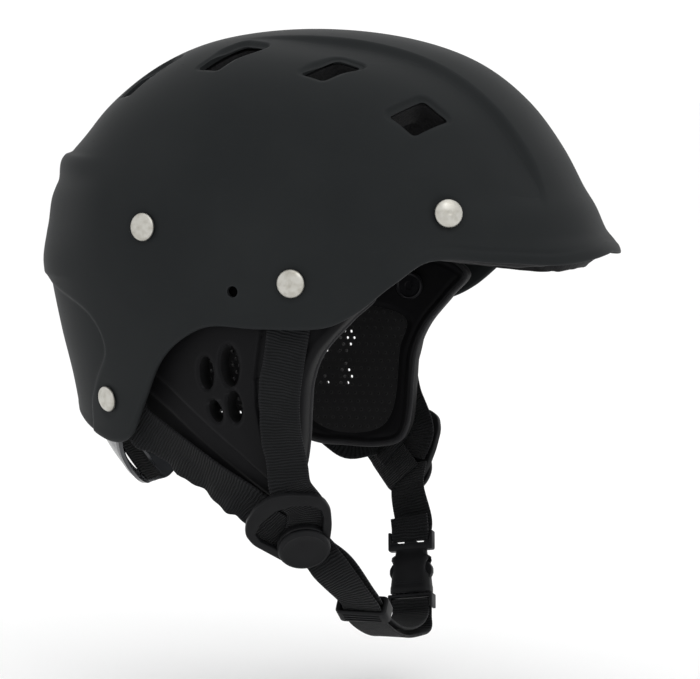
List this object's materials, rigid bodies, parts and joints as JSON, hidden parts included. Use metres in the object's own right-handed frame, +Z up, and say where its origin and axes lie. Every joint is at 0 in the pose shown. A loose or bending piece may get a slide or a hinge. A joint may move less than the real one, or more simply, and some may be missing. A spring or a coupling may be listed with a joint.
{
  "type": "water helmet",
  "caption": "Hard-shell whitewater helmet with foam liner, fit pads, ear pads, riveted webbing harness and side-release chin buckle.",
  "frame": {"origin": "underside of the crown pad, where the helmet sits on the head", "axes": "+X towards the brim, +Y towards the wearer's left, +Z up towards the crown"},
  "size_m": [0.2927, 0.2168, 0.3086],
  "materials": {
    "shell": "matte, fine grain",
    "liner_foam": "matte closed-cell foam",
    "fit_pad": "matte knit over foam",
    "ear_pad": "matte coated foam",
    "lining": "perforated knit",
    "snap": "satin",
    "nickel": "satin nickel",
    "webbing": "ribbed woven webbing",
    "buckle_plastic": "satin moulded",
    "brace": "smoky flexible plastic"
  },
  "bodies": {
    "helmet": {"outer_shell": "shell", "foam_liner": "liner_foam", "brow_pad": "fit_pad", "crown_pad": "fit_pad", "side_pad_right": "fit_pad", "side_pad_left": "fit_pad", "rear_pad": "fit_pad", "ear_pad_right": "ear_pad", "ear_pad_left": "ear_pad", "ear_lining_right": "lining", "ear_lining_left": "lining", "pad_snaps": "snap", "shell_rivets": "nickel", "rivet_washers": "nickel", "front_strap_right": "webbing", "front_strap_left": "webbing", "rear_strap_right": "webbing", "rear_strap_left": "webbing", "yoke_right": "buckle_plastic", "yoke_left": "buckle_plastic", "yoke_cap_right": "buckle_plastic", "yoke_cap_left": "buckle_plastic", "chin_strap_right": "webbing", "chin_strap_left": "webbing", "buckle_socket": "buckle_plastic"},
    "slider": {"strap_slider": "buckle_plastic"},
    "plug": {"buckle_plug": "buckle_plastic"},
    "front_prong": {"prong_front": "buckle_plastic"},
    "rear_prong": {"prong_rear": "buckle_plastic"},
    "brace": {"occipital_brace": "brace"}
  },
  "joints": [
    {"name": "buckle_release", "type": "slide", "parent": "helmet", "child": "plug", "axis": [0.1145, -0.342, -0.9327], "range_m": [0, 0.026], "deforming": ["chin_strap_right", "prong_front", "prong_rear"]},
    {"name": "front_prong_squeeze", "type": "hinge", "parent": "plug", "child": "front_prong", "pos_m": [0.04047, 0.04997, -0.25719], "axis": [-0.0417, -0.9397, 0.3395], "range_deg": [0, 10], "stiffness_Nm_per_rad": 0.4},
    {"name": "rear_prong_squeeze", "type": "hinge", "parent": "plug", "child": "rear_prong", "pos_m": [0.02896, 0.04997, -0.2586], "axis": [0.0417, 0.9397, -0.3395], "range_deg": [0, 10], "stiffness_Nm_per_rad": 0.4},
    {"name": "slider_adjust", "type": "slide", "parent": "helmet", "child": "slider", "axis": [0, -0.7986, 0.6018], "range_m": [-0.004, 0]},
    {"name": "brace_tilt", "type": "hinge", "parent": "helmet", "child": "brace", "pos_m": [-0.08, 0, -0.148], "axis": [0, 1, 0], "range_deg": [-8, 1.5]}
  ]
}
